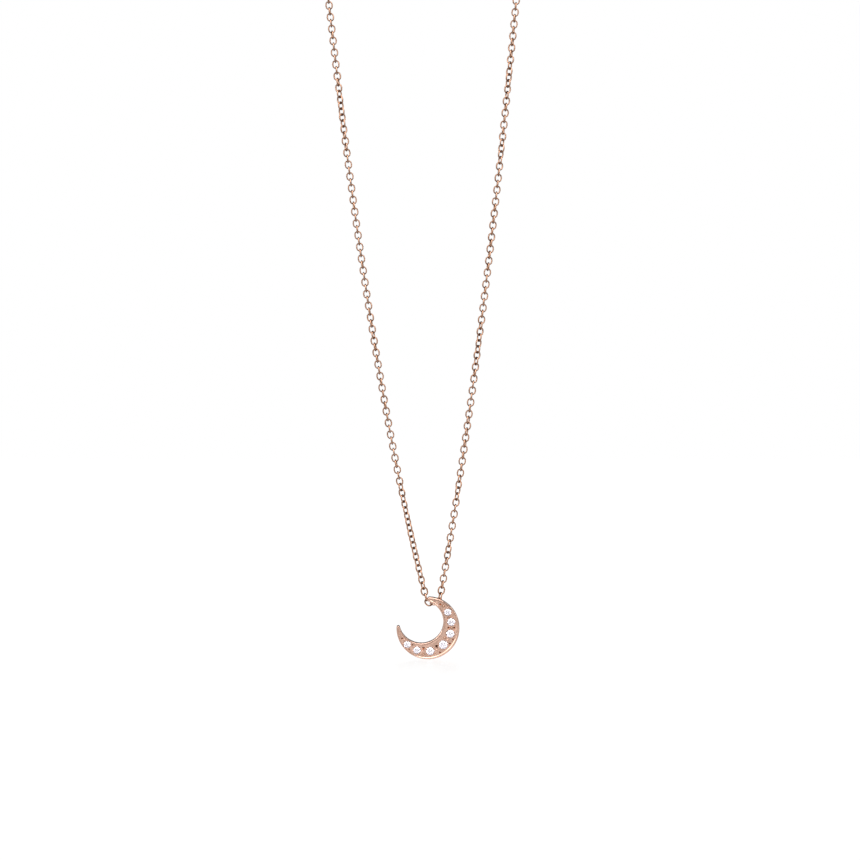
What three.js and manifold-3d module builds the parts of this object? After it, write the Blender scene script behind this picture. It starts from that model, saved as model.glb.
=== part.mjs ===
// A fine pendant necklace: a rose gold crescent with seven round brilliants, on a 16 inch cable chain with a lobster
// clasp. It hangs in the XZ plane and is seen from -Y. The origin is the crown of the chain, where it lies over
// whatever holds it up. Lengths are in millimetres and angles in degrees.
import * as THREE from "three";
import { mergeVertices } from "three/addons/utils/BufferGeometryUtils.js";
import Module from "manifold-3d";

const wasm = await Module();
wasm.setup();

// Cable chain: closed oval links of round wire, each turned a quarter turn from the last.
const LINK_WIRE = 0.25;
const LINK_LENGTH = 1.45;
const LINK_WIDTH = 1.24;
const LINK_PITCH = 0.937;
const RUN_DIAMETER = 1.24; // the plain tube that stands for a run of links
const RUN_CLEARANCE = 0.5; // from a link's contact to the end of the tube beyond it

// The two strands hang as catenaries with the same sideways pull, from the shoulders to the links at the pendant.
// A strand's hook and foot are where its first link bears, measured out and up from the bail ring's centre, and
// its lower links reach the bend halfway up.
const SIDE_PULL = 19; // horizontal pull as a length of chain
const SHOULDER_RISE = 166.4; // from the bail ring up to the shoulders
const LEFT = { side: -1, hook: [0.47, -0.09], foot: [1.13, 0.57], steepness: 3.93, lowerLinks: 90 };
const RIGHT = { side: 1, hook: [0.495, -0.1], foot: [0.96, 0.71], steepness: 5.59, lowerLinks: 89 };
const PENDANT_LINKS = 4; // links nearest the pendant that are parts of their own
const SHOULDER_LINKS = 4; // links from the top of a strand down to the joint at its shoulder

// Crescent, drawn from the centre of the bail ring; the stones' angles are about the centre of its outer circle.
const OUTER_CENTRE = [-0.9, -3.69];
const OUTER_RADIUS = 4.96;
const INNER_SHIFT = 1.465;
const INNER_SHIFT_ANGLE = 136;
const INNER_RADIUS = 3.465;
const UPPER_HORN_ANGLE = 87;
const LOWER_HORN_ANGLE = -181;
const CRESCENT_THICKNESS = 1.2;
const CRESCENT_BACK = -0.25; // y of its flat back
const EDGE_ROUND = 0.12;
const FIELD_DEPTH = 0.1; // the set field lies this far below the rims
const FIELD_RIM = 0.26;
const FIELD_ANGLES = [83, -171];
const HANG_TILT = 9.6; // the crescent hangs with its lower edge back, its weight under the ring

const STONE_ANGLES = [39.8, 15.6, -13.9, -47.6, -84.5, -116.4, -141.6];
const STONE_DIAMETERS = [1.1, 1.2, 1.25, 1.35, 1.25, 1.1, 1.05];
const STONE_OFF_MIDDLE = 0.08; // the row runs a little outside the middle of the crescent
const PAVILION = 0.43; // depths and widths as shares of the stone's diameter
const CROWN = 0.16;
const TABLE = 0.56;
const GIRDLE = 0.03;
const GIRDLE_SUNK = 0.02; // below the field
const SEAT_GAP = 0.03;
const SEAT_HOLE = 0.2; // radius of the hole behind each stone
const BEAD_RADIUS = 0.13;
const BEAD_TURN = 38; // beads stand this far round from the row's own direction

// Bail ring, soldered into a groove in the crescent's back with its back edge low.
const RING_RADIUS = 0.555;
const RING_WIRE = 0.12;
const RING_BACK = 0.2;
const RING_LEAN = -35;
const GROOVE_GAP = 0.03;

// Clasp and the two rings it works with, lying along the crown.
const CLASP_HALF_SPAN = 3.46; // from the crown to where each ring bears on the clasp
const CLASP_SHIFT = 0.455;
const CLASP_THICKNESS = 1.7;
const CLASP_ROUND = 0.14;
const EYE = { x: -3.7, z: 0, radius: 1.05, hole: 0.55 };
const HOOK = { x: 2.35, z: 0.05, radius: 1.85, hole: 1.0 };
const PIVOT = { x: -1.55, z: -0.75, radius: 0.62, hole: 0.23 };
const EYE_HALF = 0.35; // the body thins to the eye and to the end of the hook
const HOOK_HALF = 0.4;
const SLOT_HALF = 0.4;
const LEVER_HALF = 0.35;
const RIVET_RADIUS = 0.2;
const JUMP_RING = { radius: 1.25, wire: 0.25 };
const END_RING = { radius: 1.35, wire: 0.25 };

const GOLD = new THREE.MeshStandardMaterial({ color: 0xd6a088, roughness: 0.22, metalness: 1 });
const CHAIN_GOLD = new THREE.MeshStandardMaterial({ color: 0xcf977c, roughness: 0.26, metalness: 1 });
const SPRING_STEEL = new THREE.MeshStandardMaterial({ color: 0xb9b6b0, roughness: 0.3, metalness: 1 });
const DIAMOND = new THREE.MeshStandardMaterial({ color: 0xf4f1f6, roughness: 0.03, metalness: 0 });

const radians = THREE.MathUtils.degToRad;
const necklace = new THREE.Group();

// ---- Solids -------------------------------------------------------------------------------------------------

function toSolid(geometry) {
  const bare = geometry.clone();
  bare.deleteAttribute("normal");
  bare.deleteAttribute("uv");
  const merged = mergeVertices(bare, 1e-4);
  return new wasm.Manifold(
    new wasm.Mesh({
      numProp: 3,
      vertProperties: new Float32Array(merged.attributes.position.array),
      triVerts: new Uint32Array(merged.index.array),
    }),
  );
}

function toGeometry(solid) {
  const { vertProperties, triVerts } = solid.getMesh();
  const geometry = new THREE.BufferGeometry();
  geometry.setAttribute("position", new THREE.BufferAttribute(new Float32Array(vertProperties), 3));
  geometry.setIndex(new THREE.BufferAttribute(new Uint32Array(triVerts), 1));
  geometry.computeVertexNormals();
  return geometry;
}

function addMesh(group, name, geometry, material) {
  const mesh = new THREE.Mesh(geometry, material);
  mesh.name = name;
  group.add(mesh);
  return mesh;
}

// A flat shape in x and z, given a thickness in y from back to front, where front is the lower y.
function plate(shape, back, front, round, segments, curveSegments) {
  const geometry = new THREE.ExtrudeGeometry(shape, {
    depth: back - front - 2 * round,
    bevelEnabled: round > 0,
    bevelThickness: round,
    bevelSize: round,
    bevelOffset: -round,
    bevelSegments: segments,
    curveSegments,
  });
  geometry.translate(0, 0, round);
  geometry.rotateX(Math.PI / 2);
  return geometry.translate(0, back, 0);
}

// A bar along y, from back to front.
function barAlongY(x, z, radius, back, front, sides) {
  const geometry = new THREE.CylinderGeometry(radius, radius, back - front, sides);
  return geometry.translate(x, (back + front) / 2, z);
}

// ---- Route of the chain -------------------------------------------------------------------------------------

const height = (steepness) => Math.sqrt(1 + steepness ** 2);
const rise = (strand) => SHOULDER_RISE - strand.foot[1];

for (const strand of [LEFT, RIGHT]) {
  const top = rise(strand) / SIDE_PULL + height(strand.steepness);
  strand.topSteepness = Math.sqrt(top ** 2 - 1);
  strand.length = SIDE_PULL * (strand.topSteepness - strand.steepness);
  strand.spread = SIDE_PULL * (Math.asinh(strand.topSteepness) - Math.asinh(strand.steepness)) + strand.foot[0];
}

// The arch over the holder: a circle that both strands run into at the shoulders.
const LEAN = (Math.atan(1 / LEFT.topSteepness) + Math.atan(1 / RIGHT.topSteepness)) / 2;
const ARCH_RADIUS = (LEFT.spread + RIGHT.spread) / (2 * Math.cos(LEAN));
const SHOULDER_Z = -ARCH_RADIUS * (1 + Math.sin(LEAN));
const RING_X = (LEFT.spread - RIGHT.spread) / 2;
const RING_Z = SHOULDER_Z - SHOULDER_RISE;

const chordAngle = (chord) => 2 * Math.asin(chord / 2 / ARCH_RADIUS);
const claspAngle = Math.asin(CLASP_HALF_SPAN / ARCH_RADIUS);
LEFT.endRing = JUMP_RING;
RIGHT.endRing = END_RING;

function onArch(side, fromCrown) {
  const x = side * ARCH_RADIUS * Math.sin(fromCrown);
  return new THREE.Vector3(x, 0, ARCH_RADIUS * (Math.cos(fromCrown) - 1));
}

function onStrand(strand, distance) {
  const steepness = strand.steepness + distance / SIDE_PULL;
  const out = SIDE_PULL * (Math.asinh(steepness) - Math.asinh(strand.steepness)) + strand.foot[0];
  const up = SIDE_PULL * (height(steepness) - height(strand.steepness)) + strand.foot[1];
  return new THREE.Vector3(RING_X + strand.side * out, 0, RING_Z + up);
}

// The points where link bears on link, from the bail ring up the strand and along the arch to the clasp's ring.
function contactsOf(strand) {
  const [out, up] = strand.hook;
  const contacts = [new THREE.Vector3(RING_X + strand.side * out, 0, RING_Z + up)];
  const strandLinks = Math.round(strand.length / LINK_PITCH);
  for (let i = 0; i <= strandLinks; i++) {
    contacts.push(onStrand(strand, (i / strandLinks) * strand.length));
  }
  strand.shoulder = contacts.length - 1 - SHOULDER_LINKS;
  const { radius, wire } = strand.endRing;
  const from = Math.PI / 2 + LEAN;
  const to = claspAngle + chordAngle(2 * radius - wire);
  const archLinks = Math.round(((from - to) * ARCH_RADIUS) / LINK_PITCH);
  for (let i = 1; i <= archLinks; i++) {
    contacts.push(onArch(strand.side, from + (i / archLinks) * (to - from)));
  }
  return contacts;
}

// ---- Chain --------------------------------------------------------------------------------------------------

function linkGeometry() {
  const geometry = new THREE.TorusGeometry((LINK_WIDTH - LINK_WIRE) / 2, LINK_WIRE / 2, 6, 16);
  const position = geometry.attributes.position;
  const stretch = (LINK_LENGTH - LINK_WIDTH) / 2;
  for (let i = 0; i < position.count; i++) {
    const x = position.getX(i);
    if (Math.abs(x) > 1e-6) position.setX(i, x + Math.sign(x) * stretch);
  }
  return geometry;
}

// A link from one contact to the next: turn 0 lies in the XZ plane, turn 90 stands edge-on.
function addLink(name, from, to, turn) {
  const along = to.clone().sub(from).normalize();
  const flat = new THREE.Vector3(0, 1, 0).applyAxisAngle(along, radians(turn));
  const across = flat.clone().cross(along);
  const link = addMesh(necklace, name, linkGeometry(), CHAIN_GOLD);
  link.quaternion.setFromRotationMatrix(new THREE.Matrix4().makeBasis(along, across, flat));
  link.position.copy(from).lerp(to, 0.5);
}

// A run of links as one plain tube between two contacts, with a step every 2 or 3 link lengths on the arch.
function addRun(name, contacts, first, last, steps) {
  const start = contacts[first].clone().lerp(contacts[first + 1], RUN_CLEARANCE / LINK_PITCH);
  const end = contacts[last].clone().lerp(contacts[last - 1], RUN_CLEARANCE / LINK_PITCH);
  const route = new THREE.CatmullRomCurve3([start, ...contacts.slice(first + 2, last - 1), end]);
  const section = new THREE.Shape();
  for (let i = 0; i < 8; i++) {
    const angle = (i * Math.PI) / 4;
    const [x, y] = [(RUN_DIAMETER / 2) * Math.cos(angle), (RUN_DIAMETER / 2) * Math.sin(angle)];
    if (i) section.lineTo(x, y);
    else section.moveTo(x, y);
  }
  const geometry = new THREE.ExtrudeGeometry(section, { steps, extrudePath: route, bevelEnabled: false });
  addMesh(necklace, name, geometry, CHAIN_GOLD);
}

function addStrand(strand, hand) {
  const contacts = contactsOf(strand);
  const { shoulder, lowerLinks: bend } = strand;
  const end = contacts.length - 1;
  const link = (name, i) => addLink(name, contacts[i], contacts[i + 1], (i % 2) * 90);
  for (let i = 0; i < PENDANT_LINKS; i++) link(`${hand}_link_${i + 1}`, i);
  addRun(`${hand}_chain_lower`, contacts, PENDANT_LINKS, bend - 1, 12);
  link(`${hand}_bend_link_below`, bend - 1);
  link(`${hand}_bend_link_above`, bend);
  addRun(`${hand}_chain_upper`, contacts, bend + 1, shoulder - 1, 12);
  link(`${hand}_shoulder_link_below`, shoulder - 1);
  link(`${hand}_shoulder_link_above`, shoulder);
  addRun(`${hand}_chain_nape`, contacts, shoulder + 1, end - 1, 16);
  addLink(`${hand}_end_link`, contacts[end - 1], contacts[end], 0);
}

addStrand(LEFT, "left");
addStrand(RIGHT, "right");

// ---- Crescent -----------------------------------------------------------------------------------------------

const outer = new THREE.Vector2(...OUTER_CENTRE);
const direction = (degrees) => new THREE.Vector2(Math.cos(radians(degrees)), Math.sin(radians(degrees)));
const inner = outer.clone().addScaledVector(direction(INNER_SHIFT_ANGLE), INNER_SHIFT);

// How far from the outer centre a ray at this angle meets a circle about the inner centre.
function innerReach(degrees, radius = INNER_RADIUS) {
  const off = radians(degrees - INNER_SHIFT_ANGLE);
  return INNER_SHIFT * Math.cos(off) + Math.sqrt(radius ** 2 - (INNER_SHIFT * Math.sin(off)) ** 2);
}

const fromOuter = (degrees, reach) => outer.clone().addScaledVector(direction(degrees), reach);
const angleAbout = (centre, point) => point.clone().sub(centre).angle();

// The crescent between two angles, with rounded ends: from the upper end round the outside, and back inside.
function crescentShape(upper, lower, outerRadius, innerRadius) {
  const shape = new THREE.Shape();
  const ends = [upper, lower].map((degrees) => ({
    outside: fromOuter(degrees, outerRadius),
    inside: fromOuter(degrees, innerReach(degrees, innerRadius)),
    onward: direction(degrees + (degrees === upper ? 90 : -90)),
  }));
  const cap = ({ onward }, from, to) => {
    const bulge = (2 / 3) * from.distanceTo(to);
    const [a, b] = [from.clone().addScaledVector(onward, bulge), to.clone().addScaledVector(onward, bulge)];
    shape.bezierCurveTo(a.x, a.y, b.x, b.y, to.x, to.y);
  };
  shape.moveTo(ends[0].outside.x, ends[0].outside.y);
  shape.absarc(outer.x, outer.y, outerRadius, radians(upper), radians(lower), true);
  cap(ends[1], ends[1].outside, ends[1].inside);
  const [from, to] = [angleAbout(inner, ends[1].inside), angleAbout(inner, ends[0].inside)];
  shape.absarc(inner.x, inner.y, innerRadius, from - 2 * Math.PI, to, false);
  cap(ends[0], ends[0].inside, ends[0].outside);
  return shape;
}

const crescentFront = CRESCENT_BACK - CRESCENT_THICKNESS;
const fieldFace = crescentFront + FIELD_DEPTH;
const girdleFace = fieldFace + GIRDLE_SUNK;

const stones = STONE_ANGLES.map((degrees, i) => {
  const reach = (OUTER_RADIUS + innerReach(degrees)) / 2 + STONE_OFF_MIDDLE;
  const place = fromOuter(degrees, reach);
  return { place, degrees, diameter: STONE_DIAMETERS[i] };
});

// A figure turned about its own axis, given as [radius, height] with the height towards the front of the crescent.
function turned(profile, place, sides) {
  const points = profile.map(([radius, up]) => new THREE.Vector2(radius, up));
  const geometry = new THREE.LatheGeometry(points, sides).rotateX(Math.PI);
  return geometry.translate(place.x, girdleFace, place.y);
}

function seatCutter({ place, diameter }) {
  const rim = diameter / 2 + SEAT_GAP;
  const depth = diameter * PAVILION + SEAT_GAP;
  const holeStart = -depth * (1 - SEAT_HOLE / rim);
  const profile = [
    [0, -CRESCENT_THICKNESS - 1],
    [SEAT_HOLE, -CRESCENT_THICKNESS - 1],
    [SEAT_HOLE, holeStart],
    [rim, 0],
    [rim, 1],
    [0, 1],
  ];
  return toSolid(turned(profile, place, 20));
}

function beadsOf({ place, degrees, diameter }) {
  const reach = diameter / 2 + BEAD_RADIUS;
  return [90, -90].flatMap((row) =>
    [BEAD_TURN, -BEAD_TURN].map((turn) => {
      const at = place.clone().addScaledVector(direction(degrees + row + turn), reach);
      const bead = new THREE.SphereGeometry(BEAD_RADIUS, 8, 6).rotateX(Math.PI / 2);
      return toSolid(bead.translate(at.x, fieldFace, at.y));
    }),
  );
}

function ringGeometry(wire) {
  const geometry = new THREE.TorusGeometry(RING_RADIUS, wire, 8, 24);
  return geometry.rotateX(radians(RING_LEAN)).translate(0, RING_BACK, 0);
}

function crescentGeometry() {
  const blank = crescentShape(UPPER_HORN_ANGLE, LOWER_HORN_ANGLE, OUTER_RADIUS, INNER_RADIUS);
  const field = crescentShape(...FIELD_ANGLES, OUTER_RADIUS - FIELD_RIM, INNER_RADIUS + FIELD_RIM);
  let solid = toSolid(plate(blank, CRESCENT_BACK, crescentFront, EDGE_ROUND, 2, 16));
  solid = solid.subtract(toSolid(plate(field, fieldFace, crescentFront - 1, 0, 1, 12)));
  for (const stone of stones) for (const bead of beadsOf(stone)) solid = solid.add(bead);
  for (const stone of stones) solid = solid.subtract(seatCutter(stone));
  return toGeometry(solid.subtract(toSolid(ringGeometry(RING_WIRE + GROOVE_GAP))));
}

function stoneGeometry({ place, diameter }) {
  const profile = [
    [0, -PAVILION],
    [0.5, 0],
    [0.5, GIRDLE],
    [TABLE / 2, CROWN],
    [0, CROWN],
  ];
  return turned(profile.map(([radius, up]) => [radius * diameter, up * diameter]), place, 16);
}

const pendant = new THREE.Group();
pendant.position.set(RING_X, 0, RING_Z);
pendant.rotation.x = radians(HANG_TILT);
addMesh(pendant, "crescent_frame", crescentGeometry(), GOLD);
addMesh(pendant, "bail_ring", ringGeometry(RING_WIRE), GOLD);
stones.forEach((stone, i) => addMesh(pendant, `diamond_${i + 1}`, stoneGeometry(stone), DIAMOND));
necklace.add(pendant);

// ---- Clasp --------------------------------------------------------------------------------------------------

function claspOutline() {
  const shape = new THREE.Shape();
  shape.moveTo(EYE.x, EYE.radius);
  shape.bezierCurveTo(-2.5, 1.1, -0.8, HOOK.z + HOOK.radius, HOOK.x, HOOK.z + HOOK.radius);
  shape.absarc(HOOK.x, HOOK.z, HOOK.radius, radians(90), radians(-105), true);
  shape.lineTo(1.38, -1.66);
  shape.lineTo(1.28, -1.3);
  shape.lineTo(1.95, -1.3);
  shape.absarc(HOOK.x, HOOK.z, HOOK.hole, radians(-100), radians(90), false);
  shape.bezierCurveTo(0.8, 1.05, -0.2, 0.9, -0.75, 0.1);
  shape.absarc(PIVOT.x, PIVOT.z, PIVOT.radius, radians(12), radians(-120), true);
  shape.quadraticCurveTo(-2.6, -1.1, EYE.x, -EYE.radius);
  shape.absarc(EYE.x, EYE.z, EYE.radius, radians(-90), radians(-270), true);
  return shape;
}

// What is cut from one flank of the body to thin it, a shape in x and y that is as tall as the clasp.
function flankCut(side, points) {
  const shape = new THREE.Shape(points.map(([x, y]) => new THREE.Vector2(x, y)));
  const geometry = new THREE.ExtrudeGeometry(shape, { depth: 6, bevelEnabled: false }).translate(0, 0, -3);
  return side < 0 ? geometry.rotateX(Math.PI) : geometry;
}

function claspBody() {
  const half = CLASP_THICKNESS / 2;
  const slot = new THREE.BoxGeometry(2.4, 2 * SLOT_HALF, 2.3).translate(-1.5, 0, -0.65);
  const cutters = [
    barAlongY(EYE.x, EYE.z, EYE.hole, 1, -1, 20),
    barAlongY(PIVOT.x, PIVOT.z, PIVOT.hole, 1, -1, 12),
    slot,
  ];
  for (const side of [1, -1]) {
    cutters.push(flankCut(side, [[-0.2, half], [4.3, HOOK_HALF], [4.3, 2], [-0.2, 2]]));
    cutters.push(flankCut(side, [[-5, EYE_HALF], [-2.95, EYE_HALF], [-2.5, half], [-2.5, 2], [-5, 2]]));
  }
  let body = toSolid(plate(claspOutline(), half, -half, CLASP_ROUND, 1, 8));
  for (const cutter of cutters) body = body.subtract(toSolid(cutter));
  return toGeometry(body);
}

function claspLever() {
  const shape = new THREE.Shape();
  shape.absarc(PIVOT.x, PIVOT.z, 0.5, radians(70), radians(270), false);
  shape.quadraticCurveTo(-1.15, -1.6, -0.65, -1.85);
  shape.quadraticCurveTo(-0.35, -1.75, -0.3, -1.35);
  shape.lineTo(1.85, -1.25);
  shape.lineTo(1.85, -0.9);
  shape.quadraticCurveTo(0.2, -0.45, PIVOT.x + 0.17, PIVOT.z + 0.47);
  const lever = toSolid(plate(shape, LEVER_HALF, -LEVER_HALF, 0, 1, 8));
  return toGeometry(lever.subtract(toSolid(barAlongY(PIVOT.x, PIVOT.z, PIVOT.hole, 1, -1, 12))));
}

// A bent leaf that bears on the lever from the back of the slot.
function leafSpring() {
  const shape = new THREE.Shape();
  shape.moveTo(-2.55, 0.3);
  shape.quadraticCurveTo(-1.3, 0.42, -0.75, -0.32);
  shape.lineTo(-0.85, -0.37);
  shape.quadraticCurveTo(-1.3, 0.3, -2.55, 0.2);
  return plate(shape, 0.25, -0.25, 0, 1, 6);
}

const clasp = new THREE.Group();
clasp.position.set(CLASP_SHIFT, 0, ARCH_RADIUS * (Math.cos(claspAngle) - 1));
addMesh(clasp, "clasp_body", claspBody(), GOLD);
addMesh(clasp, "clasp_lever", claspLever(), GOLD);
addMesh(clasp, "clasp_spring", leafSpring(), SPRING_STEEL);
const rivetHalf = CLASP_THICKNESS / 2 - 0.02;
addMesh(clasp, "clasp_rivet", barAlongY(PIVOT.x, PIVOT.z, RIVET_RADIUS, rivetHalf, -rivetHalf, 12), GOLD);
necklace.add(clasp);

// Each ring lies along the arch with its axis towards the holder, and passes through the clasp's eye or hook.
function addClaspRing(name, { side, endRing }) {
  const angle = claspAngle + chordAngle(2 * endRing.radius) / 2;
  const ring = addMesh(necklace, name, new THREE.TorusGeometry(endRing.radius, endRing.wire, 8, 24), GOLD);
  ring.rotation.y = side * angle;
  ring.position.copy(onArch(side, angle));
}

addClaspRing("jump_ring", LEFT);
addClaspRing("end_ring", RIGHT);

export default necklace;
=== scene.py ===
import math
import random

import bmesh
import bpy
from mathutils import Matrix, Vector


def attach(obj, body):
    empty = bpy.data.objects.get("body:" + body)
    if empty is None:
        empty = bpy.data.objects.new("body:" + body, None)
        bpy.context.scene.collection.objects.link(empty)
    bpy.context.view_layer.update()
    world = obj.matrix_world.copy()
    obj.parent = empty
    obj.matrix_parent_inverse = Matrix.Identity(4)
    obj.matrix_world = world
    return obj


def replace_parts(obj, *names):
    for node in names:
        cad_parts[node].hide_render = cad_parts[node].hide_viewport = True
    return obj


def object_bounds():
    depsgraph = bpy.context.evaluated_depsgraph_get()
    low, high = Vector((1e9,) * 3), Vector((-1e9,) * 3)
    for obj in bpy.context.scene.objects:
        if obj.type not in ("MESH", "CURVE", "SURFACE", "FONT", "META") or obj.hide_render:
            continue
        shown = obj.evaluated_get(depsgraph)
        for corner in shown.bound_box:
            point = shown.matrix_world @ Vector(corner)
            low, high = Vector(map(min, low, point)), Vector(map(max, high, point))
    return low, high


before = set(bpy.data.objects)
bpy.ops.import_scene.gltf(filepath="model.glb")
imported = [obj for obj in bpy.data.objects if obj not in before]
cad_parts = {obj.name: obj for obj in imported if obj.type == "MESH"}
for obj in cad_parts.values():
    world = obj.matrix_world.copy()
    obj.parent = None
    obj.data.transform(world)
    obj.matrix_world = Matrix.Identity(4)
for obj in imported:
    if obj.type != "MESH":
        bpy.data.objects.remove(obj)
cad_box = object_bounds()
scene = bpy.context.scene
mm = 0.001

# ---- Camera
# A long lens looks level at the lower two thirds of the necklace, from 0.9 m in front of it.

view_width = 135.45 * mm
camera_distance = 900 * mm
camera_data = bpy.data.cameras.new("camera")
camera_data.sensor_width = 36
camera_data.lens = 36 * camera_distance / view_width
camera = bpy.data.objects.new("camera", camera_data)
camera.location = (1.64 * mm, -camera_distance, -161.65 * mm)
camera.rotation_euler = (math.pi / 2, 0, 0)
scene.collection.objects.link(camera)
scene.camera = camera

# ---- Cable chain
# Closed oval links of round rose gold wire, each passed through the last and turned a quarter from it.
# Two strands rise from the pendant to the shoulders, and run on over the holder to the clasp.

wire = 0.25 * mm
link_length = 1.45 * mm
link_width = 1.24 * mm
link_pitch = 0.937 * mm
side_pull = 19 * mm  # the strands hang as catenaries with this horizontal pull, as a length of chain
shoulder_rise = 166.4 * mm  # from the bail ring up to the top of the strands
pendant_links = 4
shoulder_links = 4
clasp_half_span = 3.46 * mm  # from the crown to where each ring bears on the clasp

# A strand's hook and foot are where its first link bears, out and up from the bail ring's centre. Its turns
# are how far round the hanging chain has wandered, in degrees, at heights in mm.
left = {
    "side": -1,
    "hook": (0.47 * mm, -0.09 * mm),
    "foot": (1.13 * mm, 0.57 * mm),
    "steepness": 3.93,
    "bend": 90,
    "ring": (1.25 * mm, 0.25 * mm),
    "turns": [
        (-188.4, 0), (-187.2, 15), (-185.3, 35), (-178.2, 45), (-171.1, 55), (-168.7, 85),
        (-156.9, 100), (-145.9, 75), (-134.9, 90), (-122.3, 92), (-115.2, 105), (-111.6, 135),
        (-108.1, 155), (-105.7, 175), (-98.7, 190), (-93.9, 170), (-60, 200), (-27, 180),
    ],
}
right = {
    "side": 1,
    "hook": (0.495 * mm, -0.1 * mm),
    "foot": (0.96 * mm, 0.71 * mm),
    "steepness": 5.59,
    "bend": 89,
    "ring": (1.35 * mm, 0.25 * mm),
    "turns": [
        (-188.4, 10), (-187.6, 24), (-185.7, 8), (-182.1, 10), (-180.5, 45), (-179, 80), (-173.5, 95),
        (-171.1, 135), (-168.7, 175), (-160.1, 165), (-150.9, 200), (-147.8, 222), (-145.1, 200),
        (-142.9, 180), (-131.7, 190), (-120.7, 185), (-117.9, 225), (-115.2, 262), (-109.7, 280),
        (-105.7, 315), (-101.8, 345), (-93.9, 362), (-60, 340), (-27, 360),
    ],
}


def height(steepness):
    return math.sqrt(1 + steepness**2)


for strand in (left, right):
    top = (shoulder_rise - strand["foot"][1]) / side_pull + height(strand["steepness"])
    strand["top"] = math.sqrt(top**2 - 1)
    strand["length"] = side_pull * (strand["top"] - strand["steepness"])
    turned = math.asinh(strand["top"]) - math.asinh(strand["steepness"])
    strand["spread"] = side_pull * turned + strand["foot"][0]

# The arch over the holder is a circle that both strands run into.
lean = (math.atan(1 / left["top"]) + math.atan(1 / right["top"])) / 2
arch_radius = (left["spread"] + right["spread"]) / (2 * math.cos(lean))
shoulder_z = -arch_radius * (1 + math.sin(lean))
ring_x = (left["spread"] - right["spread"]) / 2
ring_z = shoulder_z - shoulder_rise
clasp_angle = math.asin(clasp_half_span / arch_radius)


def on_strand(strand, distance):
    steepness = strand["steepness"] + distance / side_pull
    turned = math.asinh(steepness) - math.asinh(strand["steepness"])
    out = side_pull * turned + strand["foot"][0]
    up = side_pull * (height(steepness) - height(strand["steepness"])) + strand["foot"][1]
    return Vector((ring_x + strand["side"] * out, 0, ring_z + up))


def on_arch(side, from_crown):
    return Vector((side * arch_radius * math.sin(from_crown), 0, arch_radius * (math.cos(from_crown) - 1)))


def contacts_of(strand):
    """The points where link bears on link, from the bail ring to the clasp's ring."""
    out, up = strand["hook"]
    contacts = [Vector((ring_x + strand["side"] * out, 0, ring_z + up))]
    count = round(strand["length"] / link_pitch)
    contacts += [on_strand(strand, i / count * strand["length"]) for i in range(count + 1)]
    strand["shoulder"] = len(contacts) - 1 - shoulder_links
    radius, thickness = strand["ring"]
    start = math.pi / 2 + lean
    end = clasp_angle + 2 * math.asin((2 * radius - thickness) / 2 / arch_radius)
    count = round((start - end) * arch_radius / link_pitch)
    contacts += [on_arch(strand["side"], start + i / count * (end - start)) for i in range(1, count + 1)]
    return contacts


for strand in (left, right):
    strand["contacts"] = contacts_of(strand)


class Flow:
    """A shader socket. Sums on it add Math nodes, and node() adds any other node."""

    def __init__(self, tree, socket=None):
        self.tree = tree
        self.socket = socket

    def node(self, kind, settings=None, inputs=None, output=0):
        made = self.tree.nodes.new("ShaderNode" + kind)
        for name, value in (settings or {}).items():
            setattr(made, name, value)
        for name, value in (inputs or {}).items():
            if isinstance(value, Flow):
                self.tree.links.new(value.socket, made.inputs[name])
            else:
                made.inputs[name].default_value = value
        return Flow(self.tree, made.outputs[output])

    def math(self, operation, a, b=0.0):
        return self.node("Math", {"operation": operation}, {0: a, 1: b})

    def smooth(self, value, start, end):
        """Rises smoothly from 0 to 1 as a value goes from start to end."""
        return self.node("MapRange", {"interpolation_type": "SMOOTHSTEP"}, {0: value, 1: start, 2: end})

    def __add__(self, other):
        return self.math("ADD", self, other)

    __radd__ = __add__

    def __sub__(self, other):
        return self.math("SUBTRACT", self, other)

    def __rsub__(self, other):
        return self.math("SUBTRACT", other, self)

    def __mul__(self, other):
        return self.math("MULTIPLY", self, other)

    __rmul__ = __mul__


def shader_of(name):
    """A new material, a Flow to build on, and its Principled shader."""
    material = bpy.data.materials.new(name)
    material.use_nodes = True
    tree = material.node_tree
    return material, Flow(tree), tree.nodes["Principled BSDF"]


def rose_gold(name, colour, mottle_and_shade_colour, roughness, grain, scratch, swell):
    """Rose gold whose colour and surface swell a little, with fine wheel marks, and painted shade where links
    bear on each other.
    """
    material, flow, shader = shader_of(name)
    place = flow.node("TexCoord", output="Object")
    cloud = flow.node("TexNoise", None, {"Vector": place, "Scale": 900.0, "Detail": 3.0})
    marks = flow.node("TexNoise", None, {"Vector": place, "Scale": grain, "Detail": 4.0, "Roughness": 0.65})
    colours = {"Factor": cloud, 6: (*colour, 1), 7: (*mottle_and_shade_colour, 1)}
    tone = flow.node("Mix", {"data_type": "RGBA"}, colours, output=2)
    # Painted shade: where links bear on each other, the gold is painted much darker, standing in for the shade
    # between them.
    painted_contact_shade = flow.node("Attribute", {"attribute_name": "painted_contact_shade"}, output=2)
    contact_shade_colour = tuple(0.4 * share**1.3 for share in mottle_and_shade_colour)
    tone = flow.node("Mix", {"data_type": "RGBA"}, {"Factor": painted_contact_shade, 6: tone, 7: (*contact_shade_colour, 1)}, output=2)
    gloss = roughness + (marks - 0.5) * 0.12
    relief = marks * scratch + cloud * swell
    bump = flow.node("Bump", None, {"Height": relief, "Strength": 1.0, "Distance": 0.0001})
    shader.inputs["Metallic"].default_value = 1.0
    flow.tree.links.new(tone.socket, shader.inputs["Base Color"])
    flow.tree.links.new(gloss.socket, shader.inputs["Roughness"])
    flow.tree.links.new(bump.socket, shader.inputs["Normal"])
    return material


chain_gold = rose_gold("chain_rose_gold", (0.5, 0.3, 0.21), (0.42, 0.23, 0.14), 0.22, 4000.0, 0.02, 0.0)


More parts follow.
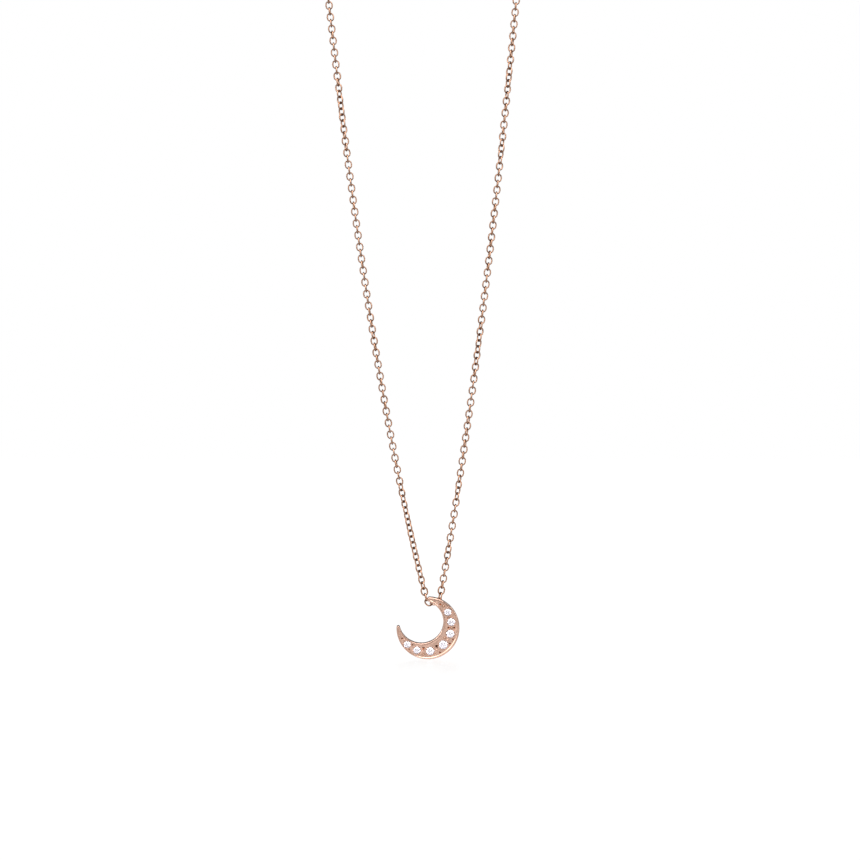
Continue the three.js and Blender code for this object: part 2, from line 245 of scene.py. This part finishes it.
def cast(bm, name, material, body):
    """Makes a closed bmesh into a piece that rides on a body and takes its finish from a slot."""
    mesh = bpy.data.meshes.new(name)
    bm.to_mesh(mesh)
    bm.free()
    mesh.materials.append(material)
    piece = bpy.data.objects.new(name, mesh)
    scene.collection.objects.link(piece)
    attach(piece, body)
    return piece


def flat_in_xz(x, y, z):
    """Places what lies about the Z axis about the Y axis at a point, its top towards the front."""
    return Matrix.Translation((x, y, z)) @ Matrix.Rotation(math.pi / 2, 4, "X")


def wire_loop(radius, thickness, rows, sides, stretch=0.0):
    """A ring of round wire about the Y axis, pulled out along X into an oval whose ends bear."""
    bm = bmesh.new()
    out = Matrix.Translation((radius, 0, 0))
    bmesh.ops.create_circle(bm, segments=sides, radius=thickness / 2, matrix=out)
    whole = bm.verts[:] + bm.edges[:]
    turn = {"cent": (0, 0, 0), "axis": (0, 1, 0), "angle": math.tau}
    bmesh.ops.spin(bm, geom=whole, **turn, steps=rows, use_merge=True)
    for vert in bm.verts:
        if abs(vert.co.x) > 0.01 * radius:
            vert.co.x += math.copysign(stretch, vert.co.x)
    bmesh.ops.recalc_face_normals(bm, faces=bm.faces)
    for face in bm.faces:
        face.smooth = True
    # A mask of painted shade at the oval's ends, where the links bear on each other.
    if stretch > 0:
        painted_contact_shade = bm.verts.layers.float.new("painted_contact_shade")
        for vert in bm.verts:
            end = abs(vert.co.x) - stretch - radius + thickness
            vert[painted_contact_shade] = min(1, max(0, end / thickness))
    mesh = bpy.data.meshes.new("wire_loop")
    bm.to_mesh(mesh)
    bm.free()
    return mesh


link_stretch = (link_length - link_width) / 2
run_link = wire_loop((link_width - wire) / 2, wire, 12, 6, link_stretch)
fine_link = wire_loop((link_width - wire) / 2, wire, 28, 10, link_stretch)
unevenness = random.Random(16)


def turn_at(strand, z):
    """How far round the chain has wandered at a height, in degrees."""
    turns = strand["turns"]
    if z <= turns[0][0] * mm:
        return turns[0][1]
    for (low, start), (high, end) in zip(turns, turns[1:]):
        if z < high * mm:
            return start + (end - start) * (z / mm - low) / (high - low)
    return turns[-1][1]


def link_place(strand, i, wobble):
    """Where link i of a strand lies: its length along the chain, its flat side turned by quarters."""
    contacts = strand["contacts"]
    last = i == len(contacts) - 2
    along = (contacts[i + 1] - contacts[i]).normalized()
    middle = contacts[i].lerp(contacts[i + 1], 0.5)
    turn = 0 if last else 90 * (i % 2) + turn_at(strand, middle.z) + unevenness.uniform(-wobble, wobble)
    flat = Matrix.Rotation(math.radians(turn), 3, along) @ Vector((0, 1, 0))
    turned = Matrix((along, flat, along.cross(flat))).transposed().to_4x4()
    return Matrix.Translation(middle) @ turned


def add_run(hand, strand, part, first, last, body):
    """A run of links from contact to contact, as one piece."""
    bm = bmesh.new()
    for i in range(first, last):
        start = len(bm.verts)
        bm.from_mesh(run_link)
        bm.verts.ensure_lookup_table()
        bmesh.ops.transform(bm, matrix=link_place(strand, i, 7), verts=bm.verts[start:])
    piece = cast(bm, f"{hand}_links_{part}", chain_gold, body)
    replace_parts(piece, f"{hand}_chain_{part}")
    route = strand["contacts"][first : last + 1]
    length = sum((b - a).length for a, b in zip(route, route[1:]))


def add_fine_link(hand, strand, part, i, body):
    bm = bmesh.new()
    bm.from_mesh(fine_link)
    bmesh.ops.transform(bm, matrix=link_place(strand, i, 0), verts=bm.verts)
    piece = cast(bm, f"{hand}_soldered_{part}", chain_gold, body)
    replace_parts(piece, f"{hand}_{part}")


for hand, strand in (("left", left), ("right", right)):
    bend, shoulder = strand["bend"], strand["shoulder"]
    end = len(strand["contacts"]) - 1
    upper, lower = f"{hand}_upper", f"{hand}_lower"
    add_run(hand, strand, "lower", pendant_links, bend - 1, lower)
    add_run(hand, strand, "upper", bend + 1, shoulder - 1, upper)
    add_run(hand, strand, "nape", shoulder + 1, end - 1, "nape")
    add_fine_link(hand, strand, "link_1", 0, "bail_link" if hand == "left" else lower)
    for i in range(1, pendant_links):
        add_fine_link(hand, strand, f"link_{i + 1}", i, lower)
    add_fine_link(hand, strand, "bend_link_below", bend - 1, lower)
    add_fine_link(hand, strand, "bend_link_above", bend, upper)
    add_fine_link(hand, strand, "shoulder_link_below", shoulder - 1, upper)
    add_fine_link(hand, strand, "shoulder_link_above", shoulder, "nape")
    add_fine_link(hand, strand, "end_link", end - 1, "nape")

# ---- Clasp
# A cast lobster clasp with a jump ring through its eye and the chain's end ring in its hook. The lever
# turns on a rivet in the body's slot, and a steel leaf keeps it shut.

clasp_gold = rose_gold("clasp_rose_gold", (0.75, 0.46, 0.34), (0.66, 0.38, 0.26), 0.16, 2500.0, 0.01, 0.1)
steel_leaf, flow, shader = shader_of("spring_steel")
place = flow.node("TexCoord", output="Object")
rolled = flow.node("TexNoise", None, {"Vector": place, "Scale": 3000.0, "Detail": 2.0})
flow.tree.links.new((0.24 + rolled * 0.16).socket, shader.inputs["Roughness"])
shader.inputs["Base Color"].default_value = (0.56, 0.55, 0.53, 1)
shader.inputs["Metallic"].default_value = 1.0


def rounded_copy(node, name, material, body, width):
    """The CAD piece with its corners eased."""
    bm = bmesh.new()
    bm.from_mesh(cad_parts[node].data)
    bmesh.ops.remove_doubles(bm, verts=bm.verts, dist=0.002 * mm)
    bmesh.ops.dissolve_limit(bm, angle_limit=math.radians(1), verts=bm.verts, edges=bm.edges)
    corners = [edge for edge in bm.edges if edge.is_manifold and edge.calc_face_angle() > math.radians(40)]
    easing = {"affect": "EDGES", "segments": 2, "profile": 0.5, "material": -1, "clamp_overlap": True}
    bmesh.ops.bevel(bm, geom=corners, offset=width, **easing)
    for face in bm.faces:
        face.smooth = True
    for edge in bm.edges:
        flat_sides = [abs(face.normal.y) > 0.98 for face in edge.link_faces]
        edge.smooth = len(set(flat_sides)) == 1 and edge.calc_face_angle(0) < math.radians(32)
    piece = cast(bm, name, material, body)
    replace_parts(piece, node)
    return piece


rounded_copy("clasp_body", "clasp_casting", clasp_gold, "nape", 0.05 * mm)
rounded_copy("clasp_lever", "clasp_thumb_lever", clasp_gold, "clasp_lever", 0.06 * mm)
rounded_copy("clasp_rivet", "clasp_pin", clasp_gold, "nape", 0.04 * mm)
rounded_copy("clasp_spring", "clasp_leaf", steel_leaf, "nape", 0.01 * mm)

for node, name, strand in (("jump_ring", "eye_ring", left), ("end_ring", "hook_ring", right)):
    radius, thickness = strand["ring"]
    angle = clasp_angle + math.asin(radius / arch_radius)
    lie = Matrix.Rotation(strand["side"] * angle, 4, "Y") @ Matrix.Rotation(math.pi / 2, 4, "X")
    bm = bmesh.new()
    bm.from_mesh(wire_loop(radius, 2 * thickness, 48, 14))
    bmesh.ops.transform(bm, matrix=Matrix.Translation(on_arch(strand["side"], angle)) @ lie, verts=bm.verts)
    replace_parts(cast(bm, name, clasp_gold, "nape"), node)

# ---- Crescent
# A thick flat-backed plate of rose gold with rounded edges. A field is cut down between two rims, each
# stone has a seat drilled right through, and the spare metal between the stones is cut with a graver.

outer = Vector((-0.9, -3.69)) * mm
outer_radius = 4.96 * mm
inner_shift = 1.465 * mm
inner_shift_angle = 136
inner_radius = 3.465 * mm
plate_back = -0.25 * mm
plate_front = -1.45 * mm
back_round = 0.1 * mm
front_round = 0.12 * mm
field_depth = 0.06 * mm
field_slope = 0.045 * mm
field_rim = 0.135 * mm
field_face = plate_front + field_depth
hang_tilt = math.radians(9.6)
pendant_place = Matrix.Translation((ring_x, 0, ring_z)) @ Matrix.Rotation(hang_tilt, 4, "X")


def heading(degrees):
    return Vector((math.cos(math.radians(degrees)), math.sin(math.radians(degrees))))


inner = outer + heading(inner_shift_angle) * inner_shift


def inner_reach(degrees, radius=inner_radius):
    """How far from the outer centre a ray meets a circle about the inner centre."""
    off = math.radians(degrees - inner_shift_angle)
    return inner_shift * math.cos(off) + math.sqrt(radius**2 - (inner_shift * math.sin(off)) ** 2)


def at_depth(point, y):
    return Vector((point.x, y, point.y))


def rim_share(degrees):
    """How many times wider the rims and rounded edges are than at the lower horn."""
    degrees = (degrees + 200) % 360 - 200
    from_belly = degrees + 44
    belly = max(0, math.cos(math.radians(from_belly * (0.6 if from_belly > 0 else 0.9)))) ** 2
    upper_horn = min(1, max(0, (degrees - 48) / 22))
    return 1 + max(1.3 * belly, 0.8 * upper_horn)


def sweep(bm, vert, centre, degrees, steps):
    """Spins a vertex anticlockwise, as seen from the front, and returns the last vertex."""
    middle = at_depth(centre, vert.co.y)
    spun = bmesh.ops.spin(
        bm, geom=[vert], cent=middle, axis=(0, -1, 0), angle=math.radians(degrees), steps=steps
    )
    return spun["geom_last"][0]


outside_steps = 96
inside_steps = 80
tip_steps = 8


def crescent_loop(bm, y, upper, lower, inset):
    """The crescent's outline between two angles, set in by an inset times the rims' share."""
    known_edges, known_verts = set(bm.edges), set(bm.verts)
    out_radius, in_radius = outer_radius - inset, inner_radius + inset
    first = bm.verts.new(at_depth(outer + heading(upper) * out_radius, y))
    vert = sweep(bm, first, outer, lower - upper, outside_steps)
    inside = [outer + heading(angle) * inner_reach(angle, in_radius) for angle in (lower, upper)]
    outside = [outer + heading(angle) * out_radius for angle in (lower, upper)]
    vert = sweep(bm, vert, (inside[0] + outside[0]) / 2, -180, tip_steps)
    angles = [math.degrees(math.atan2(*(point - inner).yx)) for point in inside]
    vert = sweep(bm, vert, inner, (angles[1] - angles[0]) % 360, inside_steps)
    vert = sweep(bm, vert, (inside[1] + outside[1]) / 2, -180, tip_steps)
    bmesh.ops.remove_doubles(bm, verts=[first, vert], dist=0.001 * mm)
    for vert in bm.verts:
        if vert not in known_verts:
            away = vert.co.xz - outer
            angle = math.degrees(math.atan2(away.y, away.x))
            way_in = 1 if away.length < (outer_radius + inner_reach(angle)) / 2 else -1
            away += away.normalized() * way_in * inset * (rim_share(angle) - 1)
            vert.co = at_depth(outer + away, y)
    return [edge for edge in bm.edges if edge not in known_edges]


def on_back(item):
    return all(abs(vert.co.y - plate_back) < 1e-7 for vert in item.verts)


def push(bm, edges, shape):
    """Extrudes a loop of edges and reshapes the new loop. Returns the new edges and the walls."""
    made = bmesh.ops.extrude_edge_only(bm, edges=edges)["geom"]
    verts = [item for item in made if isinstance(item, bmesh.types.BMVert)]
    for vert in verts:
        vert.co = shape(vert.co)
    faces = [item for item in made if isinstance(item, bmesh.types.BMFace)]
    new = set(verts)
    ends = [item for item in made if isinstance(item, bmesh.types.BMEdge) and set(item.verts) <= new]
    return ends, faces


stone_angles = [39.8, 15.6, -13.9, -47.6, -84.5, -116.4, -141.6]
stone_diameters = [size * mm for size in (1.1, 1.2, 1.25, 1.35, 1.25, 1.1, 1.05)]
row_reach = [(outer_radius + inner_reach(angle)) / 2 + 0.08 * mm for angle in stone_angles]
row_reach[-1] -= 0.05 * mm
stones = [outer + heading(angle) * reach for angle, reach in zip(stone_angles, row_reach)]
girdle_face = plate_front + 0.12 * mm
seat_gap = 0.045 * mm
seat_hole = 0.2 * mm
pavilion = 0.43

plate_gold = rose_gold(
    "crescent_rose_gold", (0.6, 0.4, 0.32), (0.46, 0.285, 0.215), 0.18, 1500.0, 0.02, 0.75
)
back_gold = rose_gold(
    "crescent_back_rose_gold", (0.66, 0.45, 0.365), (0.58, 0.38, 0.3), 0.24, 1500.0, 0.02, 0.08
)
# Painted shade: the graver's cuts and the grooves round the ringed beads get a much darker gold, for the shade
# in them.
cut_shade_gold = rose_gold("cut_painted_shade_gold", (0.4, 0.21, 0.12), (0.3, 0.14, 0.07), 0.12, 1500.0, 0.01, 0.0)

bm = bmesh.new()
# The plate's edge, from the flat back round the side to the front, rounded at both corners.
corner = 4
side = []
for y, size in ((plate_back, back_round), (plate_front, -front_round)):
    turns = [math.pi / 2 * k / corner for k in range(corner + 1)]
    rounds = [(abs(size) * (1 - math.sin(t)), y - size * (1 - math.cos(t))) for t in turns]
    side += rounds if size > 0 else rounds[::-1]
rows = [crescent_loop(bm, y, 87, -181, inset) for inset, y in side]
for one, other in zip(rows, rows[1:]):
    bmesh.ops.bridge_loops(bm, edges=one + other)
# The field between the rims.
field_top = crescent_loop(bm, plate_front, 83, -171, field_rim)
bmesh.ops.triangle_fill(bm, edges=rows[-1] + field_top, use_beauty=True)
field_floor = crescent_loop(bm, field_face, 83, -171, field_rim + field_slope)
bmesh.ops.bridge_loops(bm, edges=field_top + field_floor)

seats = []
for stone, diameter in zip(stones, stone_diameters):
    known = set(bm.edges)
    bmesh.ops.create_circle(
        bm, segments=28, radius=diameter / 2 + seat_gap, matrix=flat_in_xz(stone.x, field_face, stone.y)
    )
    seats.append([edge for edge in bm.edges if edge not in known])

# The graver's cuts as x, z, size and the way each points, and the beads with cut rings as x, z and radius, in
# mm and degrees about the bail ring's centre.
pits = [
    (2.17, -2.02, 0.17, 10), (2.33, -3.59, 0.27, 0), (3.24, -3.59, 0.26, 180), (3.05, -5.45, 0.23, 150),
    (2.54, -6.14, 0.25, 150), (0.45, -6.55, 0.34, -66), (1.0, -7.6, 0.25, 114), (0.2, -7.75, 0.16, 114),
    (-1.62, -6.88, 0.31, -100), (-3.37, -6.33, 0.2, -129), (-3.85, -7.08, 0.18, 51), (-4.99, -5.31, 0.24, 20),
    (1.03, 0.17, 0.25, -30),
]
ringed_beads = [
    (2.5, -1.83, 0.12), (2.79, -3.61, 0.14), (1.76, -5.22, 0.15), (-1.68, -7.84, 0.16), (1.56, -0.1, 0.14),
]
ring_width = 0.07 * mm


def pit_outline(x, z, size, way):
    """A long triangle on the field. Returns its edges."""
    middle = Vector((x, z)) * mm
    reach = ((0, 1.25), (125, 0.9), (235, 0.9))
    corners = [middle + heading(way + turn) * size * mm * share for turn, share in reach]
    verts = [bm.verts.new(at_depth(corner, field_face)) for corner in corners]
    return [bm.edges.new((verts[k], verts[k - 1])) for k in range(3)]


def round_outline(x, z, radius):
    known = set(bm.edges)
    bmesh.ops.create_circle(bm, segments=18, radius=radius, matrix=flat_in_xz(x * mm, field_face, z * mm))
    return [edge for edge in bm.edges if edge not in known]


pit_loops = [pit_outline(*pit) for pit in pits]
ring_loops = [round_outline(x, z, radius * mm + ring_width) for x, z, radius in ringed_beads]
loops = [edge for loop in seats + pit_loops + ring_loops for edge in loop]
bmesh.ops.triangle_fill(bm, edges=field_floor + loops, use_beauty=True)
cut_faces = []
for edges, (x, z, size, way) in zip(pit_loops, pits):
    tip = Vector((x * mm, field_face + 0.6 * size * mm, z * mm))
    floor, walls = push(bm, edges, lambda co: tip)
    cut_faces += walls
    tips = {vert for edge in floor for vert in edge.verts}
    bmesh.ops.remove_doubles(bm, verts=list(tips), dist=0.001 * mm)
for edges in ring_loops:
    floor, walls = push(bm, edges, lambda co: co + Vector((0, 0.09 * mm, 0)))
    made = bmesh.ops.triangle_fill(bm, edges=floor, use_beauty=True)["geom"]
    cut_faces += walls + [item for item in made if isinstance(item, bmesh.types.BMFace)]

holes = []
for edges, stone, diameter in zip(seats, stones, stone_diameters):
    rim = diameter / 2 + seat_gap
    slope = (diameter * pavilion + seat_gap) * (1 - seat_hole / rim)
    middle = at_depth(stone, 0)
    for radius, y in ((rim, girdle_face), (seat_hole, girdle_face + slope), (seat_hole, plate_back)):

        def drawn_in(co):
            away = (co - middle) * Vector((1, 0, 1))
            return middle + away.normalized() * radius + Vector((0, y, 0))

        edges, walls = push(bm, edges, drawn_in)
    holes.append(edges)
bmesh.ops.triangle_fill(bm, edges=rows[0] + [edge for loop in holes for edge in loop], use_beauty=True)
for face in bm.faces:
    face.smooth = True
    if on_back(face):
        face.material_index = 2
# The cuts take the darker gold of painted shade.
for face in cut_faces:
    if face.is_valid:
        face.material_index = 1
bmesh.ops.remove_doubles(bm, verts=bm.verts, dist=0.0005 * mm)
bmesh.ops.recalc_face_normals(bm, faces=bm.faces)
for edge in bm.edges:
    edge.smooth = not on_back(edge) and edge.is_manifold and edge.calc_face_angle() < math.radians(28)
bmesh.ops.transform(bm, matrix=pendant_place, verts=bm.verts)
crescent = cast(bm, "crescent_plate", plate_gold, "pendant")
crescent.data.materials.append(cut_shade_gold)
crescent.data.materials.append(back_gold)
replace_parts(crescent, "crescent_frame")

# ---- Setting beads
# Grains of the plate's own metal, raised beside each stone and rounded with a beading tool to hold it down.

bead_turn = 38
plain_beads = [
    (2.96, -1.99, 0.15), (2.2, -5.54, 0.18), (0.52, -7.17, 0.2), (-1.74, -7.38, 0.16), (-3.07, -6.69, 0.14),
    (-4.62, -5.5, 0.12), (0.55, 0.34, 0.1),
]
beads = [(Vector((x, z)) * mm, radius * mm) for x, z, radius in plain_beads + ringed_beads]
for stone, angle, diameter in zip(stones, stone_angles, stone_diameters):
    for way in (90, -90):
        for turn in (bead_turn, -bead_turn):
            place = stone + heading(angle + way + turn) * (diameter / 2 + 0.1 * mm)
            if all((place - other).length > radius + 0.08 * mm for other, radius in beads):
                beads.append((place, 0.12 * mm))
bm = bmesh.new()
for place, radius in beads:
    bmesh.ops.create_icosphere(
        bm, subdivisions=2, radius=radius, matrix=Matrix.Translation(at_depth(place, field_face))
    )
for face in bm.faces:
    face.smooth = True
bmesh.ops.transform(bm, matrix=pendant_place, verts=bm.verts)
cast(bm, "setting_beads", plate_gold, "pendant")

# ---- Brilliants
# Seven round brilliants, each with its full set of facets: the table, the crown's stars, kites and upper
# halves, a faceted girdle, and the pavilion's mains and lower halves, which meet at the culet.

diamond, flow, shader = shader_of("diamond")
shader.inputs["Base Color"].default_value = (0.87, 0.83, 0.92, 1)
shader.inputs["Roughness"].default_value = 0.0
shader.inputs["IOR"].default_value = 2.417
shader.inputs["Transmission Weight"].default_value = 1.0

crown = 0.16
girdle = 0.03
table_reach = 0.28  # lengths as shares of the stone's diameter
star_reach = 0.39
lower_half_reach = 0.12


def brilliant_points():
    """The facets' corners, about the stone's axis, with the girdle's lower edge at height 0."""
    eighth, sixteenth = math.tau / 8, math.tau / 16
    rings = []
    for k in range(8):
        rings.append((table_reach, girdle + crown, k * eighth))
        flat = star_reach * math.cos(sixteenth)
        star_height = girdle + crown * (0.5 - flat) / (0.5 - table_reach)
        rings.append((star_reach, star_height, k * eighth + sixteenth))
        flat = lower_half_reach * math.cos(sixteenth)
        rings.append((lower_half_reach, -pavilion * (0.5 - flat) / 0.5, k * eighth + sixteenth))
    for k in range(16):
        rings.append((0.5, girdle, k * sixteenth))
        rings.append((0.5, 0, k * sixteenth))
    points = [Vector((r * math.cos(t), r * math.sin(t), z)) for r, z, t in rings]
    return points + [Vector((0, 0, -pavilion))]


for k, (stone, diameter) in enumerate(zip(stones, stone_diameters)):
    bm = bmesh.new()
    for point in brilliant_points():
        bm.verts.new(point)
    bmesh.ops.convex_hull(bm, input=bm.verts)
    bmesh.ops.dissolve_limit(bm, angle_limit=math.radians(0.5), verts=bm.verts, edges=bm.edges)
    bmesh.ops.recalc_face_normals(bm, faces=bm.faces)
    set_down = flat_in_xz(stone.x, girdle_face, stone.y) @ Matrix.Rotation(k * 1.3, 4, "Z")
    bmesh.ops.transform(bm, matrix=pendant_place @ set_down @ Matrix.Scale(diameter, 4), verts=bm.verts)
    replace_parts(cast(bm, f"brilliant_{k + 1}", diamond, "pendant"), f"diamond_{k + 1}")

# ---- Bail ring
# A small closed ring, let into the back of the upper horn and soldered there. Both strands end in it.

bm = bmesh.new()
bm.from_mesh(wire_loop(0.555 * mm, 0.24 * mm, 40, 14))
lean_back = Matrix.Translation((0, 0.2 * mm, 0)) @ Matrix.Rotation(math.radians(-35), 4, "X")
lie = lean_back @ Matrix.Rotation(math.pi / 2, 4, "X")
bmesh.ops.transform(bm, matrix=pendant_place @ lie, verts=bm.verts)
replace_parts(cast(bm, "bail", plate_gold, "pendant"), "bail_ring")

# ---- Studio
# A white tabletop just under the pendant, faintly glossy in front of it, a white surround and soft lights. The
# metal and the stones see the surround and the tabletop dimmer than the camera does.

floor_z = cad_box[0].z - 0.06 * mm
bm = bmesh.new()
bmesh.ops.create_grid(bm, x_segments=1, y_segments=1, size=6, matrix=Matrix.Translation((0, 0, floor_z)))
floor_mesh = bpy.data.meshes.new("tabletop")
bm.to_mesh(floor_mesh)
bm.free()
tabletop = bpy.data.objects.new("tabletop", floor_mesh)
scene.collection.objects.link(tabletop)
white_gloss = bpy.data.materials.new("white_gloss")
white_gloss.use_nodes = True
white_gloss.node_tree.nodes.clear()
flow = Flow(white_gloss.node_tree)
place = flow.node("TexCoord", output="Object")
along = flow.node("SeparateXYZ", None, {0: place}, output="Y")
across = flow.math("ABSOLUTE", flow.node("SeparateXYZ", None, {0: place}, output="X"))
seen = flow.node("LightPath", output="Is Camera Ray")
level = seen * 1.055 + (1.0 - seen) * (0.5 + 0.5 * flow.smooth(along, -0.08, 0))
glow = flow.node("Emission", None, {"Color": (1, 1, 1, 1), "Strength": level})
mirror = flow.node("BsdfGlossy", None, {"Color": (1, 1, 1, 1), "Roughness": 0.25})
near = flow.smooth(along, -0.12, -0.01) * (1.0 - flow.smooth(along, 0.005, 0.03))
polish = 0.17 * near * (1.0 - flow.smooth(across, 0.008, 0.02))
mixed = flow.node("MixShader", None, {0: polish, 1: glow, 2: mirror})
finish = white_gloss.node_tree.nodes.new("ShaderNodeOutputMaterial")
white_gloss.node_tree.links.new(mixed.socket, finish.inputs["Surface"])
floor_mesh.materials.append(white_gloss)

world = bpy.data.worlds.new("studio")
world.use_nodes = True
world.node_tree.nodes.clear()
scene.world = world
flow = Flow(world.node_tree)
way = flow.node("TexCoord", output="Generated")
back = flow.node("SeparateXYZ", None, {0: way}, output="Y")
level = 0.5 - 0.3 * flow.smooth(back, -0.4, 0.6) + 0.7 * flow.smooth(back, 0.94, 0.98)
seen = flow.node("LightPath", output="Is Camera Ray")
bright = seen + (1.0 - seen) * level
shade = flow.node("Background", None, {"Color": (1, 1, 1, 1), "Strength": bright})
finish = world.node_tree.nodes.new("ShaderNodeOutputWorld")
world.node_tree.links.new(shade.socket, finish.inputs["Surface"])


def softbox(name, place, aim, size, power):
    light_data = bpy.data.lights.new(name, "AREA")
    light_data.shape = "RECTANGLE"
    light_data.size, light_data.size_y = size
    light_data.energy = power
    light = bpy.data.objects.new(name, light_data)
    light.location = place
    light.rotation_euler = (Vector(aim) - Vector(place)).to_track_quat("-Z", "Y").to_euler()
    light.visible_camera = False
    scene.collection.objects.link(light)


softbox("softbox_left", (-0.55, -0.5, 0.1), (0, 0, -0.17), (0.4, 0.8), 4.0)
softbox("softbox_right", (0.6, -0.35, 0.0), (0, 0, -0.17), (0.2, 0.7), 1.5)
softbox("softbox_front", (0.12, -0.75, 0.16), (0, 0, -0.19), (0.25, 0.18), 0.8)
softbox("softbox_top", (0.05, -0.3, 0.45), (0, 0, -0.17), (0.8, 0.6), 8.0)
scene.view_settings.view_transform = "Standard"

bpy.context.view_layer.update()
